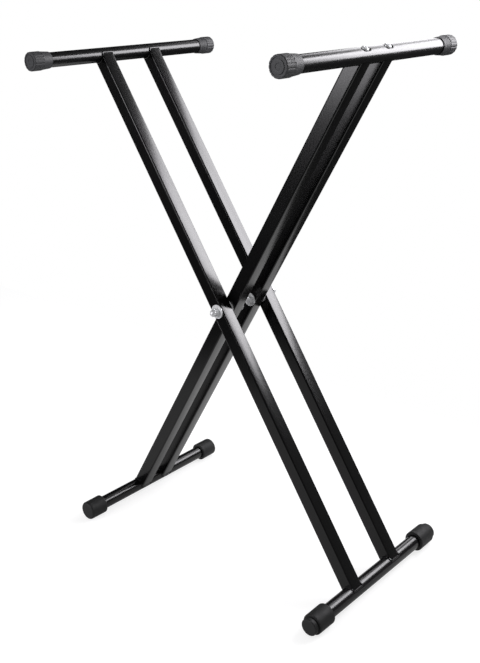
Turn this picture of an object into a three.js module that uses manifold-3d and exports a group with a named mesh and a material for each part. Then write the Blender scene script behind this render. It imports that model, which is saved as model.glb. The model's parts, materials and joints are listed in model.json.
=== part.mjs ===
// A folding keyboard stand with a double-braced X of square steel tube.
// Millimetres, +Z up. The floor is Z = 0 and the pivot axis runs along Y over the origin.
// The outer frame leans from the upper left bar (-X) to the lower right foot bar (+X), and the
// inner frame leans the other way between its tubes. "Near" is the -Y side and "far" the +Y side.
import * as THREE from "three";
import { mergeVertices } from "three/addons/utils/BufferGeometryUtils.js";
import Module from "manifold-3d";

const wasm = await Module();
wasm.setup();

// ---- Driving dimensions ----

// Pose: the angle between the two frames, with the stand set up.
const openingAngle = THREE.MathUtils.degToRad(63.6);

// Leg tubes: square steel tube.
const tubeSide = 25;
const tubeWall = 1.5;
const tubeCorner = 2;
const upperReach = 503; // pivot axis to the axis of the support bar
const lowerReach = 526; // pivot axis to the axis of the foot bar
const innerTubeSpacing = 58; // between the centres of the inner frame's two tubes

// Bars: round steel tube across the tubes' ends.
const barDiameter = 25.4;
const barWall = 1.5;
const supportBarLength = 427;
const footBarLength = 345;

// Pivot: one bolt on each side, through an inner and an outer tube.
const boltDiameter = 8;
const boltHeadAcross = 13;
const boltHeadHeight = 5.3;
const nutAcross = 13;
const nutHexHeight = 6.5;
const nutDomeDiameter = 12.4;
const nutHeight = 15;
const nutBoreDepth = 12;
const washerDiameter = 25;
const washerThickness = 1.5;
const spacerThickness = 3;

// Screws that hold the upper right bar down on the inner tubes.
const screwDiameter = 6;
const screwHeadDiameter = 11.5;
const screwHeadHeight = 3.4;
const screwSocketAcross = 4;
const screwSocketDepth = 1.9;
const screwGripInPlug = 12;
const seatDepth = 1.6; // of the pressed flat under a screw head, below the top of the bar
const seatMargin = 1.75; // of the pressed flat around a screw head
const plugHeight = 16;
const plugRecess = 1; // from the bottom of the bar to the top of the plug

// Plastic caps on the support bars.
const gripCapLength = 38;
const gripCapEndWall = 4;
const gripCapWall = 3.1;
const gripLength = 20;
const gripEdge = 1.8;
const gripStep = 0.5; // of the grip above the cone behind it
const coneMouthWall = 1.2;
const gripGrooveCount = 16;
const gripGrooveWidth = 2.4;
const gripGrooveDepth = 0.7;
const faceRimWidth = 3.4;
const faceGrooveWidth = 2.4;
const faceGrooveDepth = 1.1;
const faceDishDiameter = 9;
const faceDishDepth = 0.6;

// Rubber caps on the foot bars.
const footCapWall = 5.35; // at the mouth
const footCapTaper = 0.3; // of the radius, from the mouth to the outer end
const plainCapEndWall = 7;
const footCapLength = 38; // of the sleeve, without the end boss
const footCapEdge = 4;
const footCapLip = 1.2;
const footFlatDepth = 0.45; // of the flat that each cap stands on
const bossInset = 3.2; // of the stepped cap's end boss, in from the sleeve
const bossLength = 10; // beyond the end of the bar
const bossEdge = 3;

// Clearances.
const fitGap = 0.15; // between a bar and the cap around it, and around a plug
const copeGap = 0.3; // between a tube's shaped end and the bar that it meets
const slipGap = 0.3; // between the inner tubes and the washers beside them
const shankGap = 0.2; // around a bolt or a screw
const headGap = 0.1; // under a screw head

// Roundness of the faceted surfaces.
const barSegments = 32;
const boltSegments = 20;
const hexSides = 6;
const arcSteps = 1; // a quarter turn has twice as many edges
const mergeTolerance = 1e-4;
const overshoot = 5; // of a cutting shape, past what it cuts

// ---- Sizes worked out from them ----

const lean = openingAngle / 2;
const barRadius = barDiameter / 2;
const capBore = barRadius + fitGap;
const footCapRadius = capBore + footCapWall;
const plainCapBoreDepth = footCapLength - plainCapEndWall;
const steppedCapBoreDepth = footCapLength;
const footAxisHeight = footCapRadius - footFlatDepth;
const pivotHeight = lowerReach * Math.cos(lean) + footAxisHeight;
const innerTubeY = innerTubeSpacing / 2;
const innerTubeInnerFace = innerTubeY - tubeSide / 2;
const innerTubeOuterFace = innerTubeY + tubeSide / 2;
const spacerY = innerTubeOuterFace + slipGap;
const outerTubeInnerFace = spacerY + spacerThickness;
const outerTubeY = outerTubeInnerFace + tubeSide / 2;
const outerTubeOuterFace = outerTubeY + tubeSide / 2;
const boltHole = boltDiameter / 2 + shankGap;
const screwHole = screwDiameter / 2 + shankGap;
const seatFloor = barRadius - seatDepth; // above the axis of the bar
const seatRadius = screwHeadDiameter / 2 + seatMargin;
const plugTop = upperReach - barRadius - copeGap - plugRecess;

// ---- Finishes ----

const blackPaint = new THREE.MeshStandardMaterial({ color: 0x0b0b0d, roughness: 0.22, metalness: 0.0 });
const zincPlate = new THREE.MeshStandardMaterial({ color: 0xc4c6c8, roughness: 0.28, metalness: 1.0 });
const capPlastic = new THREE.MeshStandardMaterial({ color: 0x34363a, roughness: 0.45, metalness: 0.0 });
const footRubber = new THREE.MeshStandardMaterial({ color: 0x1b1c1d, roughness: 0.75, metalness: 0.0 });

// ---- Solids ----

/** A closed three.js geometry as a solid for joining and cutting. */
function solidOf(geometry) {
  const bare = geometry.clone();
  bare.deleteAttribute("normal");
  bare.deleteAttribute("uv");
  const merged = mergeVertices(bare, mergeTolerance);
  return new wasm.Manifold(
    new wasm.Mesh({
      numProp: 3,
      vertProperties: new Float32Array(merged.getAttribute("position").array),
      triVerts: new Uint32Array(merged.index.array),
    }),
  );
}

/** A solid as a three.js geometry with flat shading. */
function geometryOf(solid) {
  const { numProp, vertProperties, triVerts } = solid.getMesh();
  const corners = new Float32Array(triVerts.length * 3);
  triVerts.forEach((vertex, corner) => {
    const start = vertex * numProp;
    corners.set(vertProperties.subarray(start, start + 3), corner * 3);
  });
  const geometry = new THREE.BufferGeometry();
  geometry.setAttribute("position", new THREE.BufferAttribute(corners, 3));
  geometry.computeVertexNormals();
  return geometry;
}

/** A body turned around the Y axis from a path, whose X is the radius. */
function turned(path, segments = barSegments) {
  return new THREE.LatheGeometry(path.getPoints(arcSteps), segments);
}

/** A straight rod or hole along Y, centred on its middle. */
function rodAlongY(radius, length, segments = barSegments) {
  return new THREE.CylinderGeometry(radius, radius, length, segments);
}

/** A straight rod or hole along Z, from one height to another. */
function rodAlongZ(radius, from, to, segments = boltSegments) {
  return rodAlongY(radius, to - from, segments)
    .rotateX(Math.PI / 2)
    .translate(0, 0, (from + to) / 2);
}

/** A hexagonal prism along Y, from one distance to another. */
function hexAlongY(across, from, to) {
  const cornerRadius = across / 2 / Math.cos(Math.PI / hexSides);
  return rodAlongY(cornerRadius, to - from, hexSides).translate(0, (from + to) / 2, 0);
}

/** A square outline with round corners, centred on the origin. */
function roundedSquare(side, radius) {
  const inset = side / 2 - radius;
  const outline = new THREE.Shape();
  outline.absarc(inset, inset, radius, 0, Math.PI / 2);
  outline.absarc(-inset, inset, radius, Math.PI / 2, Math.PI);
  outline.absarc(-inset, -inset, radius, Math.PI, Math.PI * 1.5);
  outline.absarc(inset, -inset, radius, Math.PI * 1.5, Math.PI * 2);
  outline.closePath();
  return outline;
}

/** A leg tube along Z with the pivot at the origin, shaped to both bars and drilled for the bolt. */
function legTube() {
  const section = roundedSquare(tubeSide, tubeCorner);
  const innerCorner = Math.max(tubeCorner - tubeWall, tubeWall / 4);
  section.holes.push(roundedSquare(tubeSide - 2 * tubeWall, innerCorner));
  const length = upperReach + lowerReach;
  const blank = new THREE.ExtrudeGeometry(section, {
    depth: length,
    bevelEnabled: false,
    curveSegments: arcSteps,
  });
  blank.translate(0, 0, -lowerReach);
  const across = tubeSide + 2 * overshoot;
  const cope = rodAlongY(barRadius + copeGap, across);
  const boltWay = rodAlongY(boltHole, across, boltSegments);
  return geometryOf(
    solidOf(blank)
      .subtract(solidOf(cope.clone().translate(0, 0, upperReach)))
      .subtract(solidOf(cope.clone().translate(0, 0, -lowerReach)))
      .subtract(solidOf(boltWay)),
  );
}

/** A round tube along Y, centred on its middle. */
function barTube(length) {
  const bore = barRadius - barWall;
  const path = new THREE.Path();
  path.moveTo(bore, length / 2);
  path.lineTo(bore, -length / 2);
  path.lineTo(barRadius, -length / 2);
  path.lineTo(barRadius, length / 2);
  path.lineTo(bore, length / 2);
  return turned(path);
}

/** The support bar that is screwed down: a bar tube with a pressed flat and a way for each screw. */
function screwedBarTube(length, screwPlaces) {
  const seatWall = solidOf(rodAlongZ(seatRadius + barWall, seatFloor - barWall, barRadius, barSegments))
    .intersect(solidOf(rodAlongY(barRadius, length)));
  const seatCut = solidOf(rodAlongZ(seatRadius, seatFloor, barRadius + overshoot, barSegments));
  const screwWay = solidOf(rodAlongZ(screwHole, -barRadius - overshoot, barRadius + overshoot));
  let bar = solidOf(barTube(length));
  for (const y of screwPlaces) {
    bar = bar
      .add(seatWall.translate([0, y, 0]))
      .subtract(seatCut.translate([0, y, 0]))
      .subtract(screwWay.translate([0, y, 0]));
  }
  return geometryOf(bar);
}

/** A ridged plastic cap around Y: its mouth is at 0 and its end face at gripCapLength. */
function gripCap() {
  const gripRadius = capBore + gripCapWall;
  const gripStart = gripCapLength - gripLength;
  const mouthRadius = capBore + coneMouthWall;
  const mouthEdge = coneMouthWall / 2;
  const rimRadius = gripRadius - faceRimWidth;
  const discRadius = rimRadius - faceGrooveWidth;
  const dishRadius = faceDishDiameter / 2;
  const path = new THREE.Path();
  path.moveTo(0, gripCapLength - gripCapEndWall);
  path.lineTo(capBore, gripCapLength - gripCapEndWall);
  path.lineTo(capBore, 0);
  path.absarc(mouthRadius - mouthEdge, mouthEdge, mouthEdge, -Math.PI / 2, 0);
  path.lineTo(gripRadius - gripStep, gripStart);
  path.lineTo(gripRadius, gripStart + gripStep);
  path.absarc(gripRadius - gripEdge, gripCapLength - gripEdge, gripEdge, 0, Math.PI / 2);
  path.lineTo(rimRadius, gripCapLength);
  path.lineTo(rimRadius, gripCapLength - faceGrooveDepth);
  path.lineTo(discRadius, gripCapLength - faceGrooveDepth);
  path.lineTo(discRadius, gripCapLength);
  path.lineTo(dishRadius, gripCapLength);
  path.lineTo(dishRadius / 2, gripCapLength - faceDishDepth);
  path.lineTo(0, gripCapLength - faceDishDepth);
  const grooveStart = gripStart + gripStep * 2;
  const groove = new THREE.BoxGeometry(gripGrooveWidth, gripLength, gripGrooveDepth + overshoot).translate(
    0,
    grooveStart + gripLength / 2,
    gripRadius - gripGrooveDepth + (gripGrooveDepth + overshoot) / 2,
  );
  let cap = solidOf(turned(path));
  for (let index = 0; index < gripGrooveCount; index += 1) {
    const turn = ((index + 0.5) / gripGrooveCount) * Math.PI * 2;
    cap = cap.subtract(solidOf(groove.clone().rotateY(turn)));
  }
  return geometryOf(cap);
}

/** Cuts the flat that a foot cap stands on. */
function standingOnFlat(geometry, length) {
  const size = 4 * footCapRadius;
  const below = new THREE.BoxGeometry(size, 4 * length, size).translate(0, 0, -footAxisHeight - size / 2);
  return geometryOf(solidOf(geometry).subtract(solidOf(below)));
}

/** Starts a foot cap's outline with its bore and its rounded mouth. */
function footCapMouth(path, boreDepth) {
  path.moveTo(0, boreDepth);
  path.lineTo(capBore, boreDepth);
  path.lineTo(capBore, 0);
  path.absarc(footCapRadius - footCapLip, footCapLip, footCapLip, -Math.PI / 2, 0);
}

/** A plain rubber cap around Y: its mouth is at 0 and its rounded end at footCapLength. */
function plainFootCap() {
  const endRadius = footCapRadius - footCapTaper;
  const path = new THREE.Path();
  footCapMouth(path, plainCapBoreDepth);
  path.absarc(endRadius - footCapEdge, footCapLength - footCapEdge, footCapEdge, 0, Math.PI / 2);
  path.lineTo(0, footCapLength);
  return standingOnFlat(turned(path), footCapLength);
}

/** A rubber cap with a narrower boss on its end, around Y: its mouth is at 0. */
function steppedFootCap() {
  const endRadius = footCapRadius - footCapTaper;
  const bossRadius = endRadius - bossInset;
  const capLength = footCapLength + bossLength;
  const path = new THREE.Path();
  footCapMouth(path, steppedCapBoreDepth);
  path.absarc(endRadius - footCapLip, footCapLength - footCapLip, footCapLip, 0, Math.PI / 2);
  path.lineTo(bossRadius, footCapLength);
  path.absarc(bossRadius - bossEdge, capLength - bossEdge, bossEdge, 0, Math.PI / 2);
  path.lineTo(0, capLength);
  return standingOnFlat(turned(path), capLength);
}

/** A flat washer around Y, from 0 to its thickness. */
function washer(thickness) {
  const path = new THREE.Path();
  path.moveTo(boltHole, thickness);
  path.lineTo(boltHole, 0);
  path.lineTo(washerDiameter / 2, 0);
  path.lineTo(washerDiameter / 2, thickness);
  path.lineTo(boltHole, thickness);
  return turned(path);
}

/** A hex bolt along Y: its shank starts at 0 and its head is below 0. */
function pivotBolt(shankLength) {
  const head = solidOf(hexAlongY(boltHeadAcross, -boltHeadHeight, 0));
  const shank = rodAlongY(boltDiameter / 2, shankLength + boltHeadHeight / 2, boltSegments);
  shank.translate(0, (shankLength - boltHeadHeight / 2) / 2, 0);
  return geometryOf(head.add(solidOf(shank)));
}

/** A dome nut around Y: its seat is at 0 and its bore is blind. */
function domeNut() {
  const domeRadius = nutDomeDiameter / 2;
  const domeCentre = nutHeight - domeRadius;
  const path = new THREE.Path();
  path.moveTo(0, nutHexHeight / 2);
  path.lineTo(domeRadius, nutHexHeight / 2);
  path.absarc(0, domeCentre, domeRadius, 0, Math.PI / 2);
  const dome = solidOf(turned(path, boltSegments));
  const hex = solidOf(hexAlongY(nutAcross, 0, nutHexHeight));
  const bore = rodAlongY(boltHole, 2 * nutBoreDepth, boltSegments);
  return geometryOf(hex.add(dome).subtract(solidOf(bore)));
}

/** A button-head screw along Z: its head is above 0 and its shank below. */
function barScrew(shankLength) {
  const headRadius = screwHeadDiameter / 2;
  const crownRadius = screwSocketAcross;
  const path = new THREE.Path();
  path.moveTo(0, 0);
  path.lineTo(headRadius, 0);
  path.lineTo(headRadius, screwHeadHeight / 3);
  path.lineTo((headRadius + crownRadius) / 2, (screwHeadHeight * 5) / 6);
  path.lineTo(crownRadius, screwHeadHeight);
  path.lineTo(0, screwHeadHeight);
  const head = solidOf(turned(path, boltSegments).rotateX(Math.PI / 2));
  const shank = solidOf(rodAlongZ(screwDiameter / 2, -shankLength, screwHeadHeight / 3));
  const socket = hexAlongY(screwSocketAcross, screwHeadHeight - screwSocketDepth, screwHeadHeight + overshoot);
  return geometryOf(head.add(shank).subtract(solidOf(socket.rotateX(Math.PI / 2))));
}

/** A plug in the top of an inner tube, tapped for the screw. Its top is at 0. */
function tubePlug() {
  const side = tubeSide - 2 * tubeWall - 2 * fitGap;
  const block = new THREE.BoxGeometry(side, side, plugHeight).translate(0, 0, -plugHeight / 2);
  const tapping = rodAlongZ(screwHole, -plugHeight - overshoot, overshoot);
  return geometryOf(solidOf(block).subtract(solidOf(tapping)));
}

// ---- Assembly ----

const ends = [
  { side: "near", sign: -1 },
  { side: "far", sign: 1 },
];

/** Adds a named mesh to a group. */
function place(group, name, geometry, material, y = 0, z = 0) {
  const mesh = new THREE.Mesh(geometry, material);
  mesh.name = name;
  mesh.position.set(0, y, z);
  group.add(mesh);
  return mesh;
}

/** Turns a piece that points along +Y to point away from the middle of the stand. */
function faceOutward(mesh, sign) {
  mesh.rotation.z = sign < 0 ? Math.PI : 0;
}

/** One frame: two tubes, two bars and four caps, leaning around the pivot. */
function legFrame(name, { tubeY, turn, supportBar, footCap, footCapBoreDepth }) {
  const frame = new THREE.Group();
  frame.position.z = pivotHeight;
  frame.rotation.y = turn;
  const tube = legTube();
  const gripCapShape = gripCap();
  place(frame, name + "_top_bar", supportBar, blackPaint, 0, upperReach);
  place(frame, name + "_foot_bar", barTube(footBarLength), blackPaint, 0, -lowerReach);
  const gripCapMouth = supportBarLength / 2 + fitGap - (gripCapLength - gripCapEndWall);
  const footCapMouthY = footBarLength / 2 + fitGap - footCapBoreDepth;
  for (const { side, sign } of ends) {
    place(frame, name + "_tube_" + side, tube, blackPaint, sign * tubeY);
    const grip = place(frame, name + "_top_cap_" + side, gripCapShape, capPlastic, sign * gripCapMouth, upperReach);
    faceOutward(grip, sign);
    // A holder takes the frame's lean back out, so that the cap's flat lies on the floor.
    const level = new THREE.Group();
    level.position.z = -lowerReach;
    level.rotation.y = -turn;
    frame.add(level);
    const foot = place(level, name + "_foot_cap_" + side, footCap, footRubber, sign * footCapMouthY);
    faceOutward(foot, sign);
  }
  return frame;
}

/** The pivot hardware of both sides, square to the frames. */
function pivotSet() {
  const pivot = new THREE.Group();
  pivot.position.z = pivotHeight;
  const headWasherY = innerTubeInnerFace - slipGap - washerThickness;
  const nutSeatY = outerTubeOuterFace + washerThickness;
  const shankLength = nutSeatY + nutBoreDepth - shankGap - headWasherY;
  const pieces = [
    ["pivot_bolt_", pivotBolt(shankLength), headWasherY],
    ["pivot_head_washer_", washer(washerThickness), headWasherY],
    ["pivot_spacer_", washer(spacerThickness), spacerY],
    ["pivot_nut_washer_", washer(washerThickness), outerTubeOuterFace],
    ["pivot_dome_nut_", domeNut(), nutSeatY],
  ];
  for (const { side, sign } of ends) {
    for (const [name, geometry, y] of pieces) {
      faceOutward(place(pivot, name + side, geometry, zincPlate, sign * y), sign);
    }
  }
  return pivot;
}

/** Adds the screws and the tapped plugs that hold the inner frame's support bar. */
function addBarScrews(frame) {
  const headSeat = upperReach + seatFloor + headGap;
  const screw = barScrew(headSeat - plugTop + screwGripInPlug);
  const plug = tubePlug();
  for (const { side, sign } of ends) {
    place(frame, "bar_screw_" + side, screw, zincPlate, sign * innerTubeY, headSeat);
    place(frame, "tube_plug_" + side, plug, zincPlate, sign * innerTubeY, plugTop);
  }
}

const stand = new THREE.Group();
stand.name = "keyboard_stand";

const outerFrame = legFrame("outer", {
  tubeY: outerTubeY,
  turn: -lean,
  supportBar: barTube(supportBarLength),
  footCap: steppedFootCap(),
  footCapBoreDepth: steppedCapBoreDepth,
});

const innerFrame = legFrame("inner", {
  tubeY: innerTubeY,
  turn: lean,
  supportBar: screwedBarTube(supportBarLength, [-innerTubeY, innerTubeY]),
  footCap: plainFootCap(),
  footCapBoreDepth: plainCapBoreDepth,
});
addBarScrews(innerFrame);

stand.add(outerFrame, innerFrame, pivotSet());

export default stand;
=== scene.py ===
"""Dresses the folding keyboard stand and sets it up in a small photographic studio.

Metres, in the stand's own frame: +Z up, +Y along the bars, +X towards the upper bar that is held by
screws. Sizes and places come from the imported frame. What the frame doesn't hold, such as the rounding
of an edge, is a named field of the class that uses it.
"""

from __future__ import annotations

import json
import logging
import math
from dataclasses import dataclass
from enum import Enum
from typing import Callable, Sequence

import bmesh
import bpy
from mathutils import Matrix, Vector

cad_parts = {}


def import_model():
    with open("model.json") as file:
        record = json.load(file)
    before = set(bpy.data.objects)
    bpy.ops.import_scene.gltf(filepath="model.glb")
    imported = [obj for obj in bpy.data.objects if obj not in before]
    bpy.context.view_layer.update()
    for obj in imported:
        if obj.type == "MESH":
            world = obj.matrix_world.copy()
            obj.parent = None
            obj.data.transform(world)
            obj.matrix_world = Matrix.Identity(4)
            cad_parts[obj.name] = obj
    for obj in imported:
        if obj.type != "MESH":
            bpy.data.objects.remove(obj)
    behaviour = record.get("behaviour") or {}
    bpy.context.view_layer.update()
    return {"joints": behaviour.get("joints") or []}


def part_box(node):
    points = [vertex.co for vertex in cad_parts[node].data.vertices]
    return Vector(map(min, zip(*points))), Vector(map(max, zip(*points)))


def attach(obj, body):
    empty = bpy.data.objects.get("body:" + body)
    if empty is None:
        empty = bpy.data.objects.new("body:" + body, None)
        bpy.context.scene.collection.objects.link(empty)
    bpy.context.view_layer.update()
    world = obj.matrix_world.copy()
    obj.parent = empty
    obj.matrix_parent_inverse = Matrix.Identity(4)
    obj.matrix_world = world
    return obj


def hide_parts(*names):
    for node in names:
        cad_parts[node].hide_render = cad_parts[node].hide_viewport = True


log = logging.getLogger("keyboard_stand")

Point2 = tuple[float, float]
Colour = tuple[float, float, float]
Socket = bpy.types.NodeSocket
Tree = bpy.types.NodeTree
Group = bpy.types.ShaderNodeTree
Mesh = bmesh.types.BMesh

MM = 0.001
FULL_TURN = 2 * math.pi
SIDES = {"near": -1, "far": 1}
HEX_SIDES = 6
MERGE_DISTANCE = 0.002 * MM
SHORTEST_EDGE = 0.001 * MM
MASK_RANGE = (0.0, 1.0)
WHITE = (1.0, 1.0, 1.0, 1.0)


class Body(Enum):
    """The stand's two rigid frames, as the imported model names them."""

    OUTER = "outer_frame"
    INNER = "inner_frame"


class Slot(Enum):
    """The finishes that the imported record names."""

    PAINT = "black_paint"
    ZINC = "zinc_plate"
    PLASTIC = "cap_plastic"
    RUBBER = "foot_rubber"


class FootStyle(Enum):
    """The two kinds of rubber foot."""

    PLAIN = "plain"
    STEPPED = "stepped"


# ---- Shader effects ----


def new_group(name: str, inputs: dict[str, float], outputs: Sequence[str]) -> Group:
    """Starts a shader node group that works on Object coordinates.

    Args:
        name: The group's name.
        inputs: Each named input with its default value.
        outputs: The names of its outputs.

    Returns:
        The group, with its input and output nodes in place.
    """
    group = bpy.data.node_groups.new(name, "ShaderNodeTree")
    vector = group.interface.new_socket("Vector", in_out="INPUT", socket_type="NodeSocketVector")
    vector.hide_value = True
    for label, value in inputs.items():
        socket = group.interface.new_socket(label, in_out="INPUT", socket_type="NodeSocketFloat")
        socket.default_value = value
    for label in outputs:
        group.interface.new_socket(label, in_out="OUTPUT", socket_type="NodeSocketFloat")
    group.nodes.new("NodeGroupInput").name = "In"
    group.nodes.new("NodeGroupOutput").name = "Out"
    return group


def math_node(tree: Tree, operation: str, first: Socket | float, second: Socket | float) -> Socket:
    """Adds a maths node.

    Args:
        tree: The node tree that gets it.
        operation: The name of the operation.
        first: A socket or a number.
        second: A socket or a number.

    Returns:
        The node's output.
    """
    node = tree.nodes.new("ShaderNodeMath")
    node.operation = operation
    for socket, value in zip(node.inputs, (first, second)):
        if isinstance(value, Socket):
            tree.links.new(value, socket)
        else:
            socket.default_value = value
    return node.outputs[0]


def range_node(tree: Tree, value: Socket, old: Point2, new: Point2) -> Socket:
    """Adds a node that maps one range of values onto another, held at its ends.

    Args:
        tree: The node tree that gets it.
        value: The socket to map.
        old: The range that comes in.
        new: The range that goes out.

    Returns:
        The node's output.
    """
    node = tree.nodes.new("ShaderNodeMapRange")
    tree.links.new(value, node.inputs["Value"])
    node.inputs["From Min"].default_value, node.inputs["From Max"].default_value = old
    node.inputs["To Min"].default_value, node.inputs["To Max"].default_value = new
    return node.outputs["Result"]


def noise_node(tree: Tree, vector: Socket, scale: Socket, detail: float, rough: float = 0.5) -> Socket:
    """Adds a noise texture.

    Args:
        tree: The node tree that gets it.
        vector: The coordinates that it reads.
        scale: How many features there are to a metre.
        detail: How many finer layers it has.
        rough: How strong the finer layers are.

    Returns:
        The noise from 0 to 1.
    """
    node = tree.nodes.new("ShaderNodeTexNoise")
    tree.links.new(vector, node.inputs["Vector"])
    tree.links.new(scale, node.inputs["Scale"])
    node.inputs["Detail"].default_value = detail
    node.inputs["Roughness"].default_value = rough
    return node.outputs["Fac"]


def object_coordinates(tree: Tree) -> Socket:
    """Adds the node that gives a piece's own coordinates, and returns them."""
    return tree.nodes.new("ShaderNodeTexCoord").outputs["Object"]


class Effects:
    """The shader effects that the finishes share, each built once as a node group.

    A band is the part of a noise's range that a mask is drawn from.
    """

    coarse_share = 0.31
    fine_weight = 0.6
    coarse_weight = 0.4
    drift_band = (0.3, 0.7)
    patch_band = (0.42, 0.75)
    speck_band = (0.45, 0.7)
    speck_strength = (0.25, 1.0)
    scuff_band = (0.66, 0.74)
    scuff_turn = (0.4, 0.9, 0.2)
    scuff_stretch = (1.0, 0.12, 1.0)

    def __init__(self) -> None:
        """Builds the groups."""
        self.grain = self._grain()
        self.handling = self._handling()

    def _grain(self) -> Group:
        """The fine unevenness of a moulded, painted or plated skin.

        Returns:
            A group with the height of the grain and a slow drift, both from 0 to 1.
        """
        group = new_group("surface_grain", {"Grain Scale": 400.0, "Drift Scale": 9.0}, ("Height", "Drift"))
        given, out = group.nodes["In"].outputs, group.nodes["Out"].inputs
        fine = noise_node(group, given["Vector"], given["Grain Scale"], detail=3.0)
        coarse_scale = math_node(group, "MULTIPLY", given["Grain Scale"], self.coarse_share)
        coarse = noise_node(group, given["Vector"], coarse_scale, detail=1.0)
        fine_part = math_node(group, "MULTIPLY", fine, self.fine_weight)
        coarse_part = math_node(group, "MULTIPLY", coarse, self.coarse_weight)
        group.links.new(math_node(group, "ADD", fine_part, coarse_part), out["Height"])
        drift = noise_node(group, given["Vector"], given["Drift Scale"], detail=3.0, rough=0.6)
        group.links.new(range_node(group, drift, self.drift_band, MASK_RANGE), out["Drift"])
        return group

    def _handling(self) -> Group:
        """Marks of use: settled dust in soft patches, and short hairline scuffs.

        Returns:
            A group with a dust mask and a scuff mask, both from 0 to 1.
        """
        scales = {"Patch Scale": 14.0, "Speck Scale": 900.0, "Scuff Scale": 60.0}
        group = new_group("handling_marks", scales, ("Dust", "Scuffs"))
        given, out = group.nodes["In"].outputs, group.nodes["Out"].inputs
        patches = noise_node(group, given["Vector"], given["Patch Scale"], detail=4.0, rough=0.65)
        specks = noise_node(group, given["Vector"], given["Speck Scale"], detail=1.0)
        soft = range_node(group, patches, self.patch_band, MASK_RANGE)
        grit = range_node(group, specks, self.speck_band, self.speck_strength)
        group.links.new(math_node(group, "MULTIPLY", soft, grit), out["Dust"])
        stretch = group.nodes.new("ShaderNodeMapping")
        stretch.inputs["Rotation"].default_value = self.scuff_turn
        stretch.inputs["Scale"].default_value = self.scuff_stretch
        group.links.new(given["Vector"], stretch.inputs["Vector"])
        lines = noise_node(group, stretch.outputs["Vector"], given["Scuff Scale"], detail=5.0, rough=0.8)
        group.links.new(range_node(group, lines, self.scuff_band, MASK_RANGE), out["Scuffs"])
        return group


def add_group(tree: Tree, group: Group, values: dict[str, float]) -> bpy.types.Node:
    """Places a shared effect in a material, on Object coordinates.

    Args:
        tree: The material's node tree.
        group: The effect's node group.
        values: The material's own value for each input.

    Returns:
        The group's node.
    """
    node = tree.nodes.new("ShaderNodeGroup")
    node.node_tree = group
    for label, value in values.items():
        node.inputs[label].default_value = value
    tree.links.new(object_coordinates(tree), node.inputs["Vector"])
    return node


def mix_colours(tree: Tree, mask: Socket, base: Socket | Colour, over: Colour) -> Socket:
    """Lays one colour over another where a mask says so.

    Args:
        tree: The node tree that gets the mix.
        mask: Where the second colour shows, from 0 to 1.
        base: The colour below, as a socket or a colour.
        over: The colour on top.

    Returns:
        The mixed colour.
    """
    node = tree.nodes.new("ShaderNodeMix")
    node.data_type = "RGBA"
    tree.links.new(mask, node.inputs["Factor"])
    if isinstance(base, Socket):
        tree.links.new(base, node.inputs["A"])
    else:
        node.inputs["A"].default_value = (*base, 1.0)
    node.inputs["B"].default_value = (*over, 1.0)
    return node.outputs["Result"]


def add_bump(tree: Tree, height: Socket, strength: float, depth: float) -> None:
    """Feeds a height into the shader's normal.

    Args:
        tree: The material's node tree, which has a Principled shader.
        height: The height, from 0 to 1.
        strength: The bump's strength.
        depth: The height of a full step, in metres.
    """
    bump = tree.nodes.new("ShaderNodeBump")
    bump.inputs["Strength"].default_value = strength
    bump.inputs["Distance"].default_value = depth
    tree.links.new(height, bump.inputs["Height"])
    tree.links.new(bump.outputs["Normal"], tree.nodes["Principled BSDF"].inputs["Normal"])


@dataclass(frozen=True)
class Finish:
    """One finish of the stand: a colour, a gloss, a grain and marks of use."""

    name: str
    slot: Slot
    colour: Colour
    drift_colour: Colour
    dust_colour: Colour
    roughness: Point2
    dust: float
    scuffs: float
    grain_scale: float
    grain_depth: float
    grain_strength: float
    metallic: float = 0.0
    drift_scale: float = 9.0
    dulling: float = 0.35

    def build(self, effects: Effects) -> bpy.types.Material:
        """Makes the material.

        Args:
            effects: The shared shader effects.

        Returns:
            The finished material.
        """
        material = bpy.data.materials.new(self.name)
        material.use_nodes = True
        material.diffuse_color = (*self.colour, 1.0)
        tree = material.node_tree
        shader = tree.nodes["Principled BSDF"]
        shader.inputs["Metallic"].default_value = self.metallic
        scales = {"Grain Scale": self.grain_scale, "Drift Scale": self.drift_scale}
        grain = add_group(tree, effects.grain, scales)
        marks = add_group(tree, effects.handling, {})
        dust = math_node(tree, "MULTIPLY", marks.outputs["Dust"], self.dust)
        scuffs = math_node(tree, "MULTIPLY", marks.outputs["Scuffs"], self.scuffs)
        colour = mix_colours(tree, grain.outputs["Drift"], self.colour, self.drift_colour)
        worn = math_node(tree, "MAXIMUM", dust, scuffs)
        tree.links.new(mix_colours(tree, worn, colour, self.dust_colour), shader.inputs["Base Color"])
        gloss = range_node(tree, grain.outputs["Drift"], MASK_RANGE, self.roughness)
        dulled = math_node(tree, "ADD", gloss, math_node(tree, "MULTIPLY", worn, self.dulling))
        tree.links.new(dulled, shader.inputs["Roughness"])
        add_bump(tree, grain.outputs["Height"], self.grain_strength, self.grain_depth)
        return material


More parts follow.
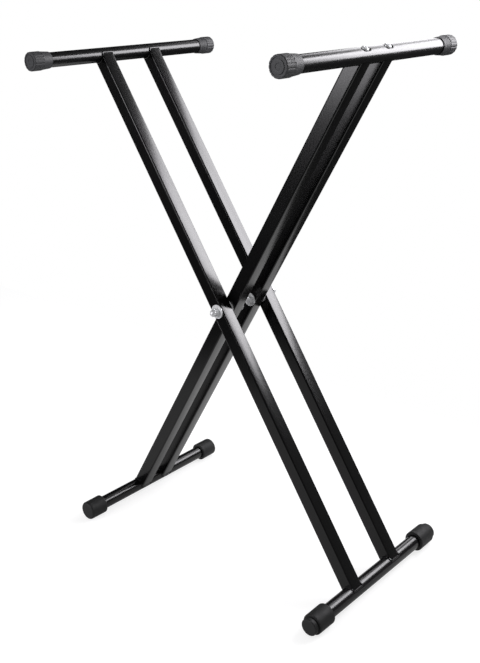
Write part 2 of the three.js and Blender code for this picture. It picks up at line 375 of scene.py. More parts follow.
class Finishes:
    """The stand's finishes."""

    paint_dust = (0.05, 0.049, 0.047)
    paint = Finish(
        name="glossy_black_paint",
        slot=Slot.PAINT,
        colour=(0.0018, 0.0018, 0.002),
        drift_colour=(0.0026, 0.0026, 0.0028),
        dust_colour=paint_dust,
        roughness=(0.18, 0.21),
        dust=0.02,
        scuffs=0.02,
        grain_scale=260.0,
        grain_depth=0.001 * MM,
        grain_strength=0.3,
    )
    bar_paint = Finish(
        name="satin_black_paint",
        slot=Slot.PAINT,
        colour=(0.0025, 0.0025, 0.0028),
        drift_colour=(0.0035, 0.0035, 0.0038),
        dust_colour=paint_dust,
        roughness=(0.22, 0.27),
        dust=0.03,
        scuffs=0.03,
        grain_scale=420.0,
        grain_depth=0.0015 * MM,
        grain_strength=0.4,
    )
    zinc = Finish(
        name="bright_zinc_plate",
        slot=Slot.ZINC,
        colour=(0.86, 0.87, 0.88),
        drift_colour=(0.78, 0.79, 0.8),
        dust_colour=(0.4, 0.39, 0.37),
        roughness=(0.3, 0.42),
        dust=0.08,
        scuffs=0.16,
        grain_scale=1400.0,
        grain_depth=0.02 * MM,
        grain_strength=0.5,
        metallic=0.45,
        drift_scale=120.0,
    )
    plastic = Finish(
        name="dark_grey_cap_plastic",
        slot=Slot.PLASTIC,
        colour=(0.03, 0.031, 0.034),
        drift_colour=(0.038, 0.039, 0.042),
        dust_colour=(0.14, 0.14, 0.135),
        roughness=(0.52, 0.62),
        dust=0.16,
        scuffs=0.1,
        grain_scale=1500.0,
        grain_depth=0.05 * MM,
        grain_strength=0.5,
        drift_scale=40.0,
    )
    rubber = Finish(
        name="black_foot_rubber",
        slot=Slot.RUBBER,
        colour=(0.005, 0.0055, 0.0055),
        drift_colour=(0.008, 0.0085, 0.0085),
        dust_colour=(0.07, 0.068, 0.064),
        roughness=(0.56, 0.7),
        dust=0.1,
        scuffs=0.08,
        grain_scale=800.0,
        grain_depth=0.14 * MM,
        grain_strength=0.7,
        drift_scale=40.0,
    )

    def __init__(self, effects: Effects) -> None:
        """Builds the materials.

        Args:
            effects: The shared shader effects.
        """
        finishes = (self.paint, self.bar_paint, self.zinc, self.plastic, self.rubber)
        self.materials = {finish.name: finish.build(effects) for finish in finishes}

    def dress(self, piece: bpy.types.Object, finish: Finish) -> None:
        """Gives a piece its finish's material."""
        piece.data.materials.append(self.materials[finish.name])


# ---- Shapes ----


class Profile:
    """A half outline to be turned around the Y axis: radius first, then distance along Y."""

    def __init__(self, radius: float, along: float) -> None:
        """Starts the outline at a point."""
        self.points: list[Point2] = [(radius, along)]

    def line(self, radius: float, along: float) -> Profile:
        """Draws a straight line to a point, and returns the outline."""
        self.points.append((radius, along))
        return self

    def lines(self, radius: float, along: float, steps: int) -> Profile:
        """Draws a straight line in equal steps.

        Args:
            radius: The end's radius.
            along: The end's distance along Y.
            steps: How many pieces the line has.

        Returns:
            The outline.
        """
        start = self.points[-1]
        for step in range(1, steps + 1):
            share = step / steps
            self.line(start[0] + (radius - start[0]) * share, start[1] + (along - start[1]) * share)
        return self

    def corner(self, radius: float, along: float, rounding: float, end: Point2, steps: int = 5) -> Profile:
        """Draws to a corner and rounds it off towards the next point.

        Args:
            radius: The corner's radius.
            along: The corner's distance along Y.
            rounding: How far from the corner its rounding starts.
            end: The point that the outline heads for next.
            steps: How many pieces the rounding has.

        Returns:
            The outline.
        """
        corner = Vector((radius, along))
        into = corner + (Vector(self.points[-1]) - corner).normalized() * rounding
        out = corner + (Vector(end) - corner).normalized() * rounding
        for step in range(steps + 1):
            share = step / steps
            # A quadratic curve from one side of the corner to the other.
            point = into * (1 - share) ** 2 + corner * 2 * share * (1 - share) + out * share**2
            self.line(point.x, point.y)
        return self

    def crown(self, radius: float, rise: float, steps: int = 12) -> Profile:
        """Draws a quarter of an ellipse that rises along Y and draws in.

        Args:
            radius: The end's radius.
            rise: How far it rises.
            steps: How many pieces it has.

        Returns:
            The outline.
        """
        start = self.points[-1]
        for step in range(1, steps + 1):
            turn = math.pi / 2 * step / steps
            self.line(radius + (start[0] - radius) * math.cos(turn), start[1] + rise * math.sin(turn))
        return self

    def turn(self, segments: int) -> Mesh:
        """Spins the outline around the Y axis into a closed solid.

        Args:
            segments: How many faces the solid has around it.

        Returns:
            The solid.
        """
        mesh = bmesh.new()
        verts = [mesh.verts.new((radius, along, 0.0)) for radius, along in self.points]
        edges = [mesh.edges.new(pair) for pair in zip(verts, verts[1:])]
        bmesh.ops.spin(
            mesh,
            geom=verts + edges,
            axis=(0, 1, 0),
            cent=(0, 0, 0),
            steps=segments,
            angle=FULL_TURN,
            use_merge=True,
            use_normal_flip=False,
        )
        tidy(mesh)
        return mesh


def tidy(mesh: Mesh) -> None:
    """Merges doubled corners and points every face outwards.

    Args:
        mesh: The mesh to tidy.
    """
    bmesh.ops.remove_doubles(mesh, verts=mesh.verts, dist=MERGE_DISTANCE)
    bmesh.ops.dissolve_degenerate(mesh, edges=mesh.edges, dist=SHORTEST_EDGE)
    bmesh.ops.recalc_face_normals(mesh, faces=mesh.faces)


def add_object(name: str, data: bpy.types.ID) -> bpy.types.Object:
    """Makes an object from its data and puts it in the scene.

    Args:
        name: The object's name.
        data: Its mesh, curve, lamp or camera.

    Returns:
        The object.
    """
    thing = bpy.data.objects.new(name, data)
    bpy.context.scene.collection.objects.link(thing)
    return thing


def mesh_object(name: str, mesh: Mesh) -> bpy.types.Object:
    """Makes an object from a mesh and puts it in the scene.

    Args:
        name: The object's name.
        mesh: Its mesh, which is freed.

    Returns:
        The object.
    """
    data = bpy.data.meshes.new(name)
    mesh.to_mesh(data)
    mesh.free()
    return add_object(name, data)


def combined(mesh: Mesh, other: Mesh, operation: str) -> Mesh:
    """Joins or cuts one solid with another.

    Args:
        mesh: The first solid, which is freed.
        other: The solid that joins or cuts it, which is freed.
        operation: UNION or DIFFERENCE.

    Returns:
        The new solid.
    """
    kept, tool = (mesh_object("part", part) for part in (mesh, other))
    modifier = kept.modifiers.new("join", "BOOLEAN")
    modifier.operation = operation
    modifier.solver = "EXACT"
    modifier.object = tool
    bpy.context.view_layer.update()
    result = bmesh.new()
    result.from_object(kept, bpy.context.evaluated_depsgraph_get())
    for part in (kept, tool):
        data = part.data
        bpy.data.objects.remove(part)
        bpy.data.meshes.remove(data)
    return result


def rod(radius: float, start: Vector, end: Vector, segments: int = 32) -> Mesh:
    """A plain round rod between two points, for cutting a hole or adding a shank.

    Args:
        radius: Its radius.
        start: The centre of one end.
        end: The centre of the other.
        segments: How many faces it has around it.

    Returns:
        The rod.
    """
    mesh = cylinder(radius, (end - start).length, segments)
    turn = (end - start).to_track_quat("Z", "Y").to_matrix().to_4x4()
    bmesh.ops.transform(mesh, matrix=Matrix.Translation((start + end) / 2) @ turn, verts=mesh.verts)
    return mesh


def cylinder(radius: float, length: float, segments: int) -> Mesh:
    """A closed cylinder or prism along Z around the origin.

    Args:
        radius: Its radius.
        length: Its length.
        segments: How many faces it has around it.

    Returns:
        The cylinder.
    """
    mesh = bmesh.new()
    bmesh.ops.create_cone(
        mesh, cap_ends=True, segments=segments, radius1=radius, radius2=radius, depth=length
    )
    return mesh


def square_block(side: float, length: float, middle: float) -> Mesh:
    """A square block along Z.

    Args:
        side: Its width both ways.
        length: Its length.
        middle: Where its middle lies along Z.

    Returns:
        The block.
    """
    mesh = bmesh.new()
    bmesh.ops.create_cube(mesh, size=1.0)
    bmesh.ops.scale(mesh, vec=(side, side, length), verts=mesh.verts)
    bmesh.ops.translate(mesh, vec=(0, 0, middle), verts=mesh.verts)
    return mesh


def round_edges(mesh: Mesh, edges: list[bmesh.types.BMEdge], offset: float, steps: int) -> None:
    """Rounds off some edges of a mesh.

    Args:
        mesh: The mesh.
        edges: The edges.
        offset: How far from an edge its rounding starts.
        steps: How many faces the rounding has.
    """
    bmesh.ops.bevel(
        mesh, geom=edges, offset=offset, affect="EDGES", segments=steps, profile=0.5, material=-1
    )


# ---- The stand's layout ----


@dataclass
class LegPose:
    """Where one leaning frame lies: its pivot, its lean, and its bars' distances from the pivot."""

    body: Body
    pivot: Vector
    lean: float
    upper: float
    lower: float

    @classmethod
    def from_frame(cls, body: Body, prefix: str, pivot: Vector) -> LegPose:
        """Reads a frame's place from its two bars.

        Args:
            body: The rigid body.
            prefix: The start of its nodes' names.
            pivot: The pivot's centre.

        Returns:
            The frame's pose.
        """
        top = centre(f"{prefix}_top_bar") - pivot
        foot = centre(f"{prefix}_foot_bar") - pivot
        return cls(body, pivot, math.atan2(top.x, top.z), top.length, foot.length)

    def matrix(self) -> Matrix:
        """The place of the leg's own axes, whose Z runs up the leg from the pivot."""
        return Matrix.Translation(self.pivot) @ Matrix.Rotation(self.lean, 4, "Y")

    def bar_matrix(self, along: float) -> Matrix:
        """The place of a bar's own axes, at a distance along the leg."""
        return self.matrix() @ Matrix.Translation((0, 0, along))


def centre(node: str) -> Vector:
    """The middle of a CAD node's box."""
    low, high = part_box(node)
    return (low + high) / 2


def extent(node: str) -> Vector:
    """The size of a CAD node's box."""
    low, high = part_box(node)
    return high - low


def span(node: str) -> Point2:
    """Finds how far from the middle of the stand a CAD node starts and ends.

    Args:
        node: The node's name.

    Returns:
        The two distances along Y, the shorter one first.
    """
    low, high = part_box(node)
    start, end = sorted((abs(low.y), abs(high.y)))
    return start, end


def facing(side: str) -> Matrix:
    """The turn that points a piece's own Y away from the middle of the stand."""
    return Matrix.Rotation(math.pi if SIDES[side] < 0 else 0.0, 4, "Z")


class Workshop:
    """Turns meshes into finished pieces that ride on the frame."""

    smooth_limit = math.radians(32)

    def __init__(self, finishes: Finishes) -> None:
        """Keeps the finishes."""
        self.finishes = finishes

    def piece(self, name: str, mesh: Mesh, place: Matrix, body: Body, finish: Finish) -> bpy.types.Object:
        """Makes an object from a mesh, puts it in place and dresses it.

        Args:
            name: The piece's name.
            mesh: Its mesh in its own axes, which is freed.
            place: The place of those axes.
            body: The body that it rides on.
            finish: Its finish.

        Returns:
            The finished object.
        """
        bmesh.ops.transform(mesh, matrix=place, verts=mesh.verts)
        for face in mesh.faces:
            face.smooth = True
        for edge in mesh.edges:
            edge.smooth = edge.is_manifold and edge.calc_face_angle(0.0) < self.smooth_limit
        piece = mesh_object(name, mesh)
        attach(piece, body.value)
        self.finishes.dress(piece, finish)
        log.info("%s: %d faces on %s", name, len(piece.data.polygons), body.value)
        return piece

    def redo(self, node: str, mesh: Mesh, place: Matrix, body: Body, finish: Finish) -> None:
        """Makes the finished piece that stands for a CAD node.

        Args:
            node: The node's name.
            mesh: The piece's mesh in its own axes, which is freed.
            place: The place of those axes.
            body: The body that it rides on.
            finish: Its finish.
        """
        piece = self.piece(f"{node}_dressed", mesh, place, body, finish)
        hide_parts(node)


# ---- Sub-assemblies ----


@dataclass
class LegTube:
    """A square steel leg tube: hollow, round at its corners, shaped to the bars and drilled for the bolt."""

    pose: LegPose
    side: float
    bar_radius: float
    wall: float = 1.5 * MM
    corner: float = 2.2 * MM
    cope_gap: float = 0.3 * MM
    bolt_hole: float = 4.2 * MM
    corner_steps: int = 5
    end_steps: int = 20

    def build(self) -> Mesh:
        """Makes the tube in the leg's own axes.

        Returns:
            The tube.
        """
        length = self.pose.upper + self.pose.lower
        mesh = square_block(self.side, length, length / 2 - self.pose.lower)
        ends = [face for face in mesh.faces if abs(face.normal.z) > 0.5]
        bmesh.ops.delete(mesh, geom=ends, context="FACES_ONLY")
        long_edges = [edge for edge in mesh.edges if edge.calc_length() > length / 2]
        round_edges(mesh, long_edges, self.corner, self.corner_steps)
        half = self.side / 2 - self.corner
        for step in range(1, self.end_steps):
            across = half * (2 * step / self.end_steps - 1)
            geometry = mesh.verts[:] + mesh.edges[:] + mesh.faces[:]
            bmesh.ops.bisect_plane(mesh, geom=geometry, plane_co=(across, 0, 0), plane_no=(1, 0, 0))
        bmesh.ops.recalc_face_normals(mesh, faces=mesh.faces)
        bmesh.ops.solidify(mesh, geom=mesh.faces[:], thickness=self.wall)
        self._cope(mesh)
        tidy(mesh)
        reach = Vector((0, self.side, 0))
        return combined(mesh, rod(self.bolt_hole, -reach, reach), "DIFFERENCE")

    def _cope(self, mesh: Mesh) -> None:
        """Draws both ends back to follow the round bars.

        Args:
            mesh: The tube's mesh.
        """
        radius = self.bar_radius + self.cope_gap
        for vert in mesh.verts:
            drop = math.sqrt(max(radius**2 - vert.co.x**2, 0.0))
            vert.co.z = self.pose.upper - drop if vert.co.z > 0 else drop - self.pose.lower


@dataclass
class Bar:
    """A round steel bar tube along Y."""

    length: float
    radius: float
    wall: float = 1.5 * MM
    edge: float = 0.4 * MM
    segments: int = 72

    def build(self) -> Mesh:
        """Makes the bar around its own middle.

        Returns:
            The bar.
        """
        return self._outline(1).turn(self.segments)

    def _outline(self, steps: int) -> Profile:
        """Draws the bar's wall.

        Args:
            steps: How many pieces it has along its length.

        Returns:
            The closed outline.
        """
        half, bore = self.length / 2, self.radius - self.wall
        outline = Profile(bore, half)
        outline.lines(bore, -half, steps)
        outline.line(self.radius - self.edge, -half).line(self.radius, -half + self.edge)
        outline.lines(self.radius, half - self.edge, steps)
        outline.line(self.radius - self.edge, half).line(bore, half)
        return outline


@dataclass
class ScrewedBar(Bar):
    """The upper bar that is held by screws: its top is pressed flat around each screw."""

    screw_places: tuple[float, ...] = ()
    seat_floor: float = 11.1 * MM
    seat_radius: float = 7.2 * MM
    seat_blend: float = 2.6 * MM
    screw_hole: float = 3.2 * MM
    steps: int = 214

    def build(self) -> Mesh:
        """Makes the bar, presses its seats and drills its holes.

        Returns:
            The bar, in axes whose Z runs up the leg.
        """
        mesh = self._outline(self.steps).turn(self.segments)
        for vert in mesh.verts:
            for place in self.screw_places:
                vert.co.z -= self._press(vert.co, place)
        for place in self.screw_places:
            start, end = Vector((0, place, -self.radius * 2)), Vector((0, place, self.radius * 2))
            mesh = combined(mesh, rod(self.screw_hole, start, end), "DIFFERENCE")
        return mesh

    def _press(self, point: Vector, place: float) -> float:
        """How far the press pushes a point of the wall down.

        Args:
            point: The point, in the bar's own axes.
            place: The screw's distance along the bar.

        Returns:
            The depth in metres.
        """
        if point.z <= 0 or abs(point.x) >= self.radius:
            return 0.0
        skin = math.sqrt(self.radius**2 - point.x**2)
        away = math.hypot(point.x, point.y - place)
        share = min(max((self.seat_radius + self.seat_blend - away) / self.seat_blend, 0.0), 1.0)
        return max(skin - self.seat_floor, 0.0) * share * share * (3 - 2 * share)


@dataclass
class GripCap:
    """A plastic cap on the end of a support bar, with grip flutes around its outer half.

    The grip's straight run ends grip_edge_room times the edge's rounding before the end face.
    """

    bore: float
    radius: float
    length: float
    end_wall: float = 4.0 * MM
    mouth_wall: float = 1.2 * MM
    mouth_chamfer: float = 0.3 * MM
    grip_length: float = 20.0 * MM
    grip_edge: float = 1.9 * MM
    grip_edge_room: float = 1.2
    grip_edge_steps: int = 8
    grip_steps: int = 12
    grip_step: float = 0.55 * MM
    rim_width: float = 3.4 * MM
    groove_width: float = 2.4 * MM
    groove_depth: float = 1.1 * MM
    dish_radius: float = 4.5 * MM
    dish_depth: float = 0.6 * MM
    soft: float = 0.35 * MM
    flutes: int = 16
    flute_depth: float = 0.55 * MM
    flute_share: float = 0.42
    steps_per_flute: int = 10

    def build(self) -> Mesh:
        """Makes the cap around Y, with its mouth at 0 and its end face at its length.

        Returns:
            The cap.
        """
        end, soft = self.length, self.soft
        grip_start = end - self.grip_length
        full = grip_start + self.grip_step
        rim, disc = self.radius - self.rim_width, self.radius - self.rim_width - self.groove_width
        mouth, inside = self.bore + self.mouth_wall, end - self.end_wall
        floor, dish = end - self.groove_depth, end - self.dish_depth
        outline = Profile(0, inside).line(self.bore, inside).line(self.bore, self.mouth_chamfer)
        outline.line(self.bore + self.mouth_chamfer, 0)
        outline.corner(mouth, 0, soft, (mouth, end))
        outline.corner(self.radius - self.grip_step, grip_start, soft, (self.radius, full))
        outline.corner(self.radius, full, soft, (self.radius, end))
        outline.lines(self.radius, end - self.grip_edge * self.grip_edge_room, self.grip_steps)
        outline.corner(self.radius, end, self.grip_edge, (0, end), self.grip_edge_steps)
        outline.corner(rim, end, soft, (rim, floor))
        outline.corner(rim, floor, soft, (disc, floor))
        outline.corner(disc, floor, soft, (disc, end))
        outline.corner(disc, end, soft, (0, end))
        outline.corner(self.dish_radius, end, soft, (self.dish_radius, dish))
        outline.line(self.dish_radius - soft, dish).line(0, dish)
        mesh = outline.turn(self.flutes * self.steps_per_flute)
        self._flute(mesh, full)
        return mesh

    def _flute(self, mesh: Mesh, start: float) -> None:
        """Presses the flutes into the outer half.

        Args:
            mesh: The cap's mesh.
            start: Where the flutes start along the cap.
        """
        for vert in mesh.verts:
            radius = math.hypot(vert.co.x, vert.co.z)
            if vert.co.y < start + self.soft or radius < self.radius - self.grip_edge:
                continue
            turn = math.atan2(vert.co.x, vert.co.z) / FULL_TURN * self.flutes
            away = abs(turn - round(turn)) * 2
            share = max(1 - away / self.flute_share, 0.0)
            depth = self.flute_depth * math.sin(share * math.pi / 2)
            scale = 1 - depth / radius
            vert.co.x *= scale
            vert.co.z *= scale


@dataclass
class FootCap:
    """A rubber foot on the end of a foot bar, with a flat moulded under it to stand on.

    The first sleeve_share of the sleeve is drawn in sleeve_steps, so that the flat follows its taper.
    """

    style: FootStyle
    bore: float
    radius: float
    length: float
    floor: float
    sleeve: float = 38.0 * MM
    sleeve_share: float = 0.8
    sleeve_steps: int = 8
    plain_end_wall: float = 7.0 * MM
    mouth_chamfer: float = 0.4 * MM
    taper: float = 0.3 * MM
    lip: float = 1.3 * MM
    lip_steps: int = 6
    plain_edge: float = 4.2 * MM
    boss_inset: float = 3.2 * MM
    boss_edge: float = 2.4 * MM
    end_steps: int = 8
    neck_depth: float = 1.9 * MM
    neck_width: float = 2.2 * MM
    neck_steps: int = 4
    segments: int = 96

    def build(self) -> Mesh:
        """Makes the foot around Y, with its mouth at 0 and its closed end outwards.

        Returns:
            The foot.
        """
        end = self.radius - self.taper
        stepped = self.style is FootStyle.STEPPED
        depth = self.sleeve if stepped else self.sleeve - self.plain_end_wall
        outline = Profile(0, depth).line(self.bore, depth).line(self.bore, self.mouth_chamfer)
        outline.line(self.bore + self.mouth_chamfer, 0)
        outline.corner(self.radius, 0, self.lip, (end, self.sleeve), self.lip_steps)
        narrowed = self.radius + (end - self.radius) * self.sleeve_share
        outline.lines(narrowed, self.sleeve * self.sleeve_share, self.sleeve_steps)
        if stepped:
            boss, soft = end - self.boss_inset, self.lip / 3
            neck, shoulder = boss - self.neck_depth, self.sleeve + self.neck_width
            outline.corner(end, self.sleeve, self.lip, (neck, self.sleeve), self.lip_steps)
            outline.corner(neck, self.sleeve, soft, (neck, shoulder), self.neck_steps)
            outline.corner(neck, shoulder, soft, (boss, shoulder), self.neck_steps)
            outline.corner(boss, shoulder, soft, (boss, self.length), self.neck_steps)
            outline.corner(boss, self.length, self.boss_edge, (0, self.length), self.end_steps)
        else:
            outline.corner(end, self.sleeve, self.plain_edge, (0, self.sleeve), self.end_steps)
        outline.line(0, self.length)
        mesh = outline.turn(self.segments)
        for vert in mesh.verts:
            vert.co.z = max(vert.co.z, self.floor)
        tidy(mesh)
        return mesh


@dataclass
class Washer:
    """A flat ring around Y, with softened edges."""

    bore: float
    radius: float
    thickness: float
    edge: float = 0.3 * MM
    edge_steps: int = 4
    segments: int = 64

    def build(self) -> Mesh:
        """Makes the ring, from 0 to its thickness.

        Returns:
            The ring.
        """
        top = self.thickness
        outline = Profile(self.bore, top).line(self.bore, 0)
        outline.corner(self.radius, 0, self.edge, (self.radius, top), self.edge_steps)
        outline.corner(self.radius, top, self.edge, (self.bore, top), self.edge_steps)
        outline.line(self.bore, top)
        return outline.turn(self.segments)


@dataclass
class HexBlock:
    """A hexagonal head or nut around Y, whose corners are turned off at one or both ends.

    The turning starts at chamfer times half the width, and rises by slope outside that. Where only one
    end is turned, first_ring is the height of the first ring of corners, as a share of the block's.
    """

    across: float
    height: float
    both_ends: bool
    chamfer: float = 0.93
    slope: float = 0.55
    first_ring: float = 0.1
    steps_per_side: int = 8

    def build(self) -> Mesh:
        """Makes the block, from 0 to its height.

        Returns:
            The block, with its turned corners at its height.
        """
        segments = HEX_SIDES * self.steps_per_side
        mesh = bmesh.new()
        bmesh.ops.create_circle(mesh, cap_ends=True, segments=segments, radius=1.0)
        bmesh.ops.rotate(mesh, matrix=Matrix.Rotation(-math.pi / 2, 3, "X"), verts=mesh.verts)
        flat = self.across / 2
        start, end = self.chamfer * flat, self.height
        first = end * self.first_ring
        self._shape(mesh.verts[:], lambda hexagon: (start if self.both_ends else hexagon, 0.0))
        levels: list[Callable[[float], Point2]] = [
            lambda hexagon: (hexagon, (hexagon - start) * self.slope if self.both_ends else first),
            lambda hexagon: (hexagon, end - (hexagon - start) * self.slope),
            lambda hexagon: (start, end),
        ]
        rim = mesh.edges[:]
        for level in levels:
            grown = bmesh.ops.extrude_edge_only(mesh, edges=rim)["geom"]
            rim = [item for item in grown if isinstance(item, bmesh.types.BMEdge)]
            ring = [item for item in grown if isinstance(item, bmesh.types.BMVert)]
            rim = [edge for edge in rim if all(vert in ring for vert in edge.verts)]
            self._shape(ring, level)
        bmesh.ops.contextual_create(mesh, geom=rim)
        tidy(mesh)
        return mesh

    def _shape(self, ring: list[bmesh.types.BMVert], level: Callable[[float], Point2]) -> None:
        """Moves a ring of corners onto the block.

        Args:
            ring: The ring's corners.
            level: Gives a corner's radius and distance along Y, from the hexagon's radius there.
        """
        sixth = FULL_TURN / HEX_SIDES
        for vert in ring:
            turn = math.atan2(vert.co.x, vert.co.z)
            away = turn - sixth * (math.floor(turn / sixth) + 0.5)
            hexagon = self.across / 2 / math.cos(away)
            radius, along = level(hexagon)
            vert.co = Vector((math.sin(turn) * radius, along, math.cos(turn) * radius))


@dataclass
class PivotSet:
    """The bolt, washers, spacer and dome nut on one side of the pivot."""

    side: str
    pivot: Vector
    hole: float = 4.2 * MM
    shank: float = 4.0 * MM
    across: float = 13.0 * MM
    head_height: float = 5.3 * MM
    nut_hex: float = 6.5 * MM
    nut_height: float = 15.0 * MM
    dome_radius: float = 6.2 * MM
    bore_depth: float = 12.0 * MM
    end_gap: float = 0.2 * MM
    dome_segments: int = 48
    rings: tuple[str, ...] = ("pivot_head_washer", "pivot_spacer", "pivot_nut_washer")

    def build(self, shop: Workshop) -> None:
        """Makes the five pieces.

        Args:
            shop: The workshop that finishes them.
        """
        spans = [span(f"{name}_{self.side}") for name in self.rings]
        for name, (start, end) in zip(self.rings, spans):
            radius = extent(f"{name}_{self.side}").x / 2
            self._add(shop, name, Washer(self.hole, radius, end - start).build(), start)
        head_seat, nut_seat = spans[0][0], spans[-1][1]
        length = nut_seat + self.bore_depth - self.end_gap - head_seat
        self._add(shop, "pivot_bolt", self._bolt(length), head_seat)
        self._add(shop, "pivot_dome_nut", self._nut(), nut_seat)

    def _add(self, shop: Workshop, name: str, mesh: Mesh, along: float) -> None:
        """Finishes one piece, whose own Y points away from the middle of the stand.

        Args:
            shop: The workshop that finishes it.
            name: Its name without its side.
            mesh: Its mesh, which is freed.
            along: Its distance from the middle.
        """
        middle = self.pivot + Vector((0, SIDES[self.side] * along, 0))
        place = Matrix.Translation(middle) @ facing(self.side)
        shop.redo(f"{name}_{self.side}", mesh, place, Body.OUTER, Finishes.zinc)

    def _bolt(self, length: float) -> Mesh:
        """Makes the bolt.

        Args:
            length: The length of its shank under the head.

        Returns:
            The bolt, with its shank along +Y from 0.
        """
        head = HexBlock(self.across, self.head_height, both_ends=False).build()
        bmesh.ops.rotate(head, matrix=Matrix.Rotation(math.pi, 3, "X"), verts=head.verts)
        shank = rod(self.shank, Vector((0, -self.head_height / 2, 0)), Vector((0, length, 0)))
        return combined(head, shank, "UNION")

    def _nut(self) -> Mesh:
        """Makes the dome nut.

        Returns:
            The nut, with its seat at 0 and its dome along +Y.
        """
        hexagon = HexBlock(self.across, self.nut_hex, both_ends=True).build()
        outline = Profile(0, self.nut_hex / 2).line(self.dome_radius, self.nut_hex / 2)
        outline.line(self.dome_radius, self.nut_height - self.dome_radius)
        outline.crown(0, self.dome_radius)
        nut = combined(hexagon, outline.turn(self.dome_segments), "UNION")
        bore = rod(self.hole, Vector((0, -self.nut_hex, 0)), Vector((0, self.bore_depth, 0)))
        return combined(nut, bore, "DIFFERENCE")


@dataclass
class BarScrew:
    """A button-head screw with a hexagonal socket, along Z with its head above 0.

    Its crown is flat out to crown_flat times half the socket's width.
    """

    head_radius: float
    head_height: float
    shank_length: float
    shank: float = 3.0 * MM
    rim: float = 0.9 * MM
    seat_edge: float = 0.2 * MM
    seat_edge_steps: int = 3
    crown_flat: float = 1.45
    socket_across: float = 4.0 * MM
    socket_depth: float = 1.9 * MM
    segments: int = 48

    def build(self) -> Mesh:
        """Makes the screw.

        Returns:
            The screw.
        """
        side = (self.head_radius, self.rim)
        outline = Profile(0, 0)
        outline.corner(self.head_radius, 0, self.seat_edge, side, self.seat_edge_steps).line(*side)
        outline.crown(self.socket_across / 2 * self.crown_flat, self.head_height - self.rim)
        head = outline.line(0, self.head_height).turn(self.segments)
        shank = rod(self.shank, Vector((0, self.rim / 2, 0)), Vector((0, -self.shank_length, 0)))
        body = combined(head, shank, "UNION")
        radius = self.socket_across / 2 / math.cos(math.pi / HEX_SIDES)
        socket = cylinder(radius, 2 * self.socket_depth, HEX_SIDES)
        bmesh.ops.rotate(socket, matrix=Matrix.Rotation(math.pi / 2, 3, "X"), verts=socket.verts)
        bmesh.ops.translate(socket, vec=(0, self.head_height, 0), verts=socket.verts)
        screw = combined(body, socket, "DIFFERENCE")
        bmesh.ops.rotate(screw, matrix=Matrix.Rotation(math.pi / 2, 3, "X"), verts=screw.verts)
        return screw


@dataclass
class TubePlug:
    """The tapped steel plug in the top of an inner tube."""

    side: float
    height: float
    hole: float = 3.2 * MM
    edge: float = 0.8 * MM
    edge_steps: int = 3

    def build(self) -> Mesh:
        """Makes the plug, with its top at 0.

        Returns:
            The plug.
        """
        mesh = square_block(self.side, self.height, -self.height / 2)
        round_edges(mesh, mesh.edges[:], self.edge, self.edge_steps)
        hole = rod(self.hole, Vector((0, 0, -2 * self.height)), Vector((0, 0, self.height)))
        return combined(mesh, hole, "DIFFERENCE")


@dataclass
class WeldBead:
    """A weld around the end of a leg tube, where it meets a bar."""

    side: float
    corner: float
    bar_radius: float
    thickness: float = 1.9 * MM
    ripple: float = 0.08
    ripple_length: float = 2.2 * MM
    swell: float = 0.08
    swell_length: float = 7.0 * MM
    spacing: float = 0.55 * MM
    sections: int = 3

    def build(self, upward: bool) -> Mesh:
        """Makes the bead in axes that have the bar along Y through the origin.

        Args:
            upward: Whether the tube comes from below the bar.

        Returns:
            The bead.
        """
        route = self._route()
        curve = bpy.data.curves.new("bead", "CURVE")
        curve.dimensions = "3D"
        curve.bevel_depth = self.thickness
        curve.bevel_resolution = self.sections
        spline = curve.splines.new("POLY")
        spline.points.add(len(route) - 1)
        spline.use_cyclic_u = True
        sign = -1 if upward else 1
        along = 0.0
        for index, (point, (x, y)) in enumerate(zip(spline.points, route)):
            height = math.sqrt(max(self.bar_radius**2 - x**2, 0.0))
            point.co = (x, y, sign * height, 1.0)
            before = route[index - 1]
            along += math.hypot(x - before[0], y - before[1]) if index else 0.0
            wave = abs(math.sin(math.pi * along / self.ripple_length))
            point.radius = 1 - self.ripple * wave + self.swell * math.sin(along / self.swell_length)
        holder = add_object("bead", curve)
        bpy.context.view_layer.update()
        data = bpy.data.meshes.new_from_object(holder)
        mesh = bmesh.new()
        mesh.from_mesh(data)
        bpy.data.objects.remove(holder)
        bpy.data.curves.remove(curve)
        bpy.data.meshes.remove(data)
        tidy(mesh)
        return mesh

    def _route(self) -> list[Point2]:
        """Goes round the tube's square outline with its round corners.

        Returns:
            The route's points, evenly spaced.
        """
        half = self.side / 2
        straight = half - self.corner
        points: list[Point2] = []
        for quarter in range(4):
            turn = quarter * math.pi / 2
            steps = max(int(2 * straight / self.spacing), 1)
            for step in range(steps):
                points.append(rotated((half, -straight + 2 * straight * step / steps), turn))
            bends = max(int(self.corner * math.pi / 2 / self.spacing), 2)
            for step in range(bends):
                bend = math.pi / 2 * step / bends
                x, y = self.corner * math.cos(bend), self.corner * math.sin(bend)
                points.append(rotated((straight + x, straight + y), turn))
        return points


def rotated(point: Point2, turn: float) -> Point2:
    """A flat point turned around the origin."""
    x, y = point
    return x * math.cos(turn) - y * math.sin(turn), x * math.sin(turn) + y * math.cos(turn)


